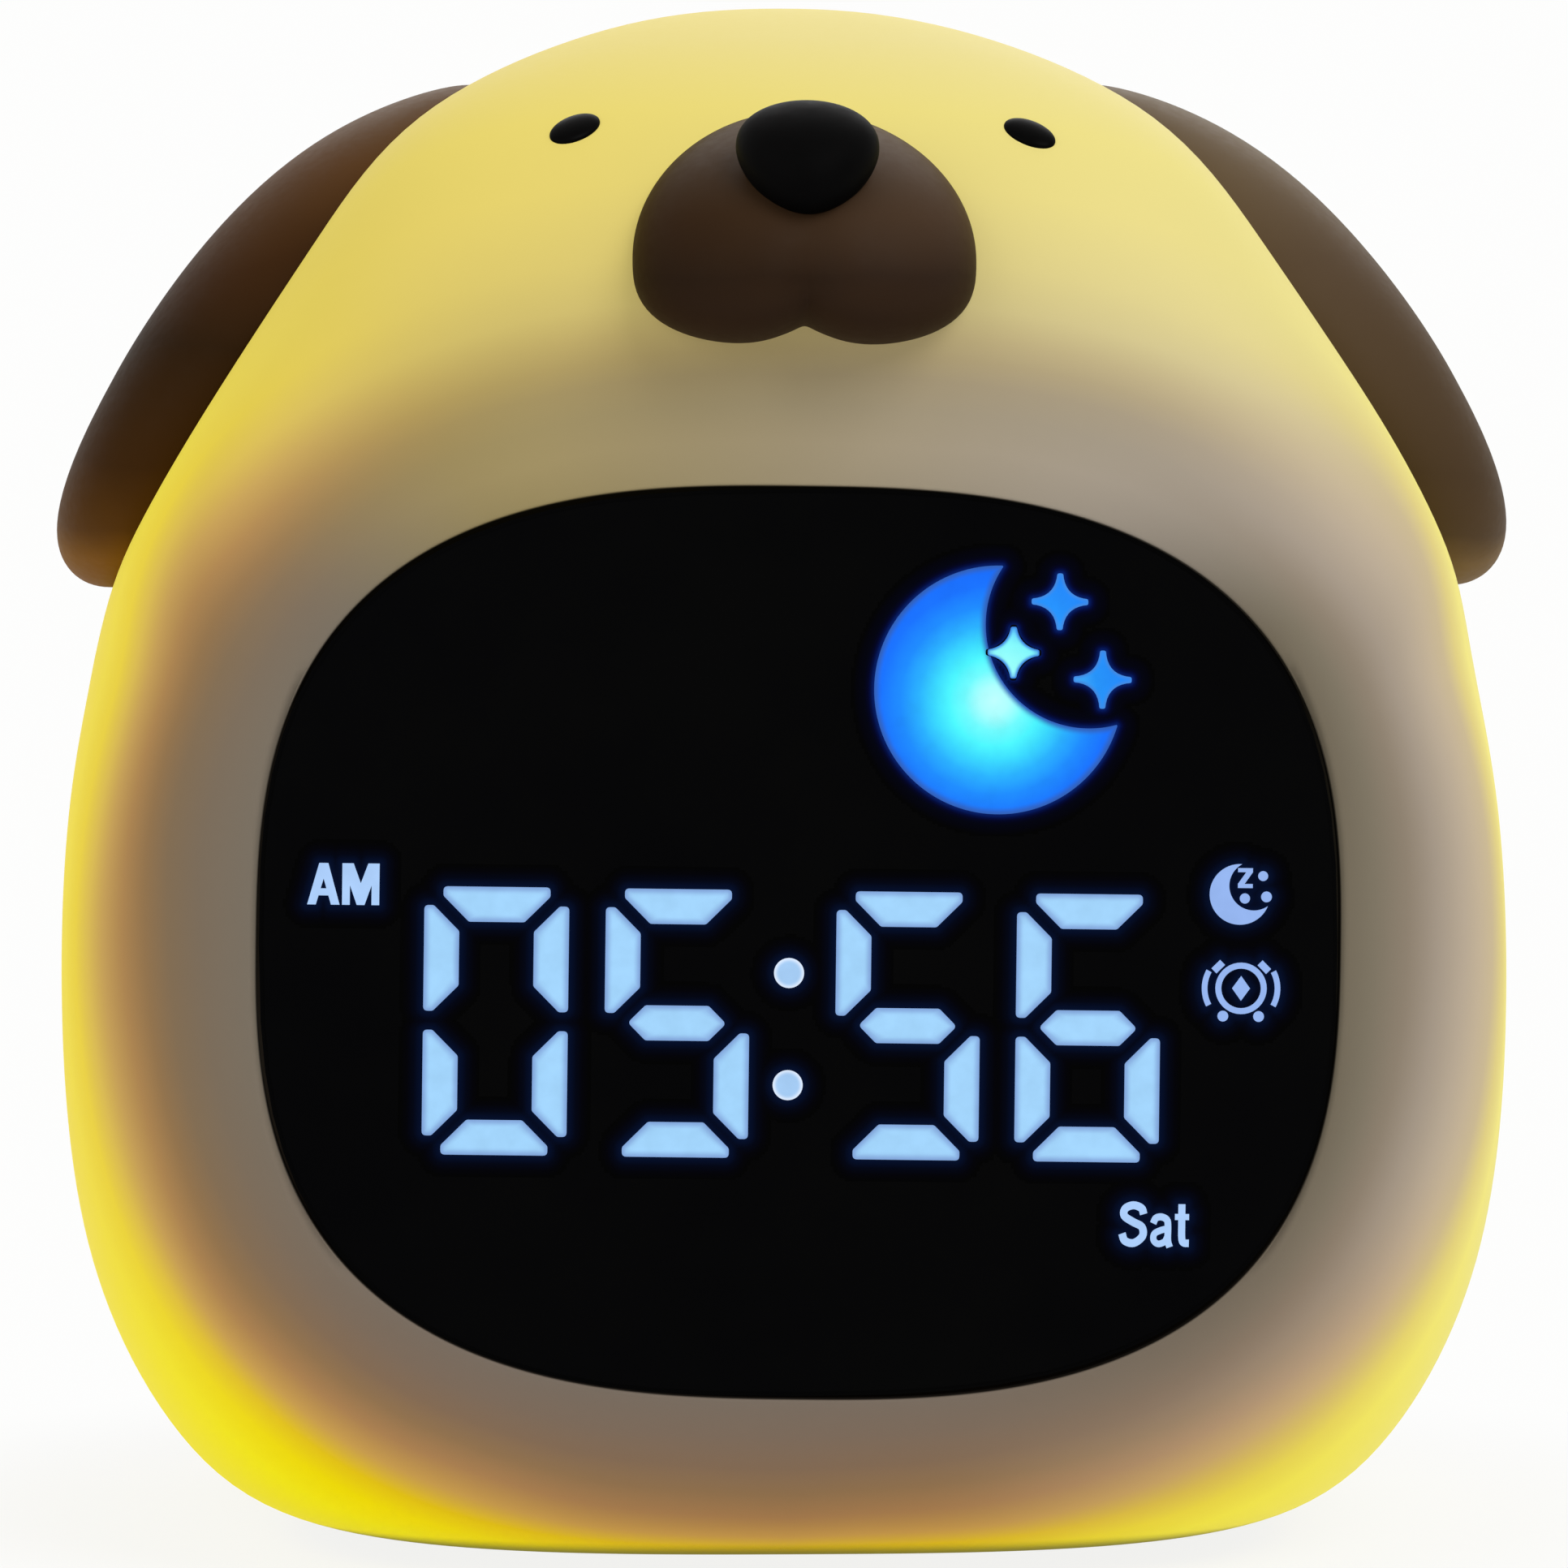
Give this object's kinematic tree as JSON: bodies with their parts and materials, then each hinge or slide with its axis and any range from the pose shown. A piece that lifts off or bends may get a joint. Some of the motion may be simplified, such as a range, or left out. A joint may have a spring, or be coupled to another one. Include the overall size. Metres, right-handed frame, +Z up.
{
  "type": "kids alarm clock with night light",
  "caption": "Puppy-shaped night-light alarm clock: glowing soft silicone body, dark digital display in the belly, floppy side ears, rear keys, speaker and charging socket.",
  "frame": {"origin": "centre of the foot ring, on the table", "axes": "+Z up, the display and face look along -Y, +X is the viewer's right"},
  "size_m": [0.1052, 0.0928, 0.11],
  "materials": {
    "silicone": "translucent matt silicone, lit from inside",
    "brown_silicone": "matt brown silicone",
    "nose_silicone": "matt black silicone",
    "eye_plastic": "polished black",
    "foot_rubber": "matt translucent rubber",
    "diffuser": "milky translucent moulding",
    "lens": "smoked acrylic, polished",
    "black_plastic": "fine moulded grain",
    "light_guide": "clear moulding, lit pale blue",
    "moon_guide": "clear moulding, lit blue",
    "board": "solder mask",
    "white_board": "white solder mask",
    "led": "moulded LED package",
    "cover_plastic": "fine moulded grain",
    "key_plastic": "satin moulding",
    "switch_plastic": "satin moulding",
    "steel": "bright zinc plate",
    "cone_paper": "pressed paper pulp",
    "magnet": "nickel plate",
    "cell_wrap": "shrink sleeve over a metal can",
    "flat_cable": "polyester film",
    "lead_black": "insulated wire",
    "lead_red": "insulated wire"
  },
  "bodies": {
    "housing": {"silicone_skin": "silicone", "ear_left": "brown_silicone", "ear_right": "brown_silicone", "muzzle": "brown_silicone", "nose": "nose_silicone", "eye_left": "eye_plastic", "eye_right": "eye_plastic", "foot_ring": "foot_rubber", "diffuser_core": "diffuser", "display_lens": "lens", "display_housing": "black_plastic", "digit_light_guides": "light_guide", "moon_light_guide": "moon_guide", "star_light_guides": "moon_guide", "legend_light_guides": "light_guide", "display_board": "board", "display_leds": "led", "display_screws": "steel", "rear_cover": "cover_plastic", "rear_screws": "steel", "main_board": "board", "main_board_screws": "steel", "key_switches": "switch_plastic", "usb_socket": "steel", "speaker_frame": "switch_plastic", "speaker_cone": "cone_paper", "speaker_magnet": "magnet", "battery_holder": "switch_plastic", "battery_cell": "cell_wrap", "light_board": "white_board", "night_leds": "led", "light_board_screws": "steel", "display_ribbon": "flat_cable", "ribbon_sockets": "cover_plastic", "light_lead": "lead_black", "speaker_lead": "lead_black", "battery_lead": "lead_red", "board_chips": "switch_plastic", "lead_sockets": "cover_plastic"},
    "time_key": {"key_time": "key_plastic", "plunger_time": "switch_plastic"},
    "alarm_key": {"key_alarm": "key_plastic", "plunger_alarm": "switch_plastic"},
    "light_key": {"key_light": "key_plastic", "plunger_light": "switch_plastic"},
    "sound_key": {"key_sound": "key_plastic", "plunger_sound": "switch_plastic"},
    "up_key": {"key_up": "key_plastic", "plunger_up": "switch_plastic"},
    "down_key": {"key_down": "key_plastic", "plunger_down": "switch_plastic"}
  },
  "joints": [
    {"name": "time_press", "type": "slide", "parent": "housing", "child": "time_key", "axis": [0, -1, 0], "range_m": [0, 0.0006], "stiffness_N_per_m": 400},
    {"name": "alarm_press", "type": "slide", "parent": "housing", "child": "alarm_key", "axis": [0, -1, 0], "range_m": [0, 0.0006], "stiffness_N_per_m": 400},
    {"name": "light_press", "type": "slide", "parent": "housing", "child": "light_key", "axis": [0, -1, 0], "range_m": [0, 0.0006], "stiffness_N_per_m": 400},
    {"name": "sound_press", "type": "slide", "parent": "housing", "child": "sound_key", "axis": [0, -1, 0], "range_m": [0, 0.0006], "stiffness_N_per_m": 400},
    {"name": "up_press", "type": "slide", "parent": "housing", "child": "up_key", "axis": [0, -1, 0], "range_m": [0, 0.0006], "stiffness_N_per_m": 400},
    {"name": "down_press", "type": "slide", "parent": "housing", "child": "down_key", "axis": [0, -1, 0], "range_m": [0, 0.0006], "stiffness_N_per_m": 400}
  ]
}
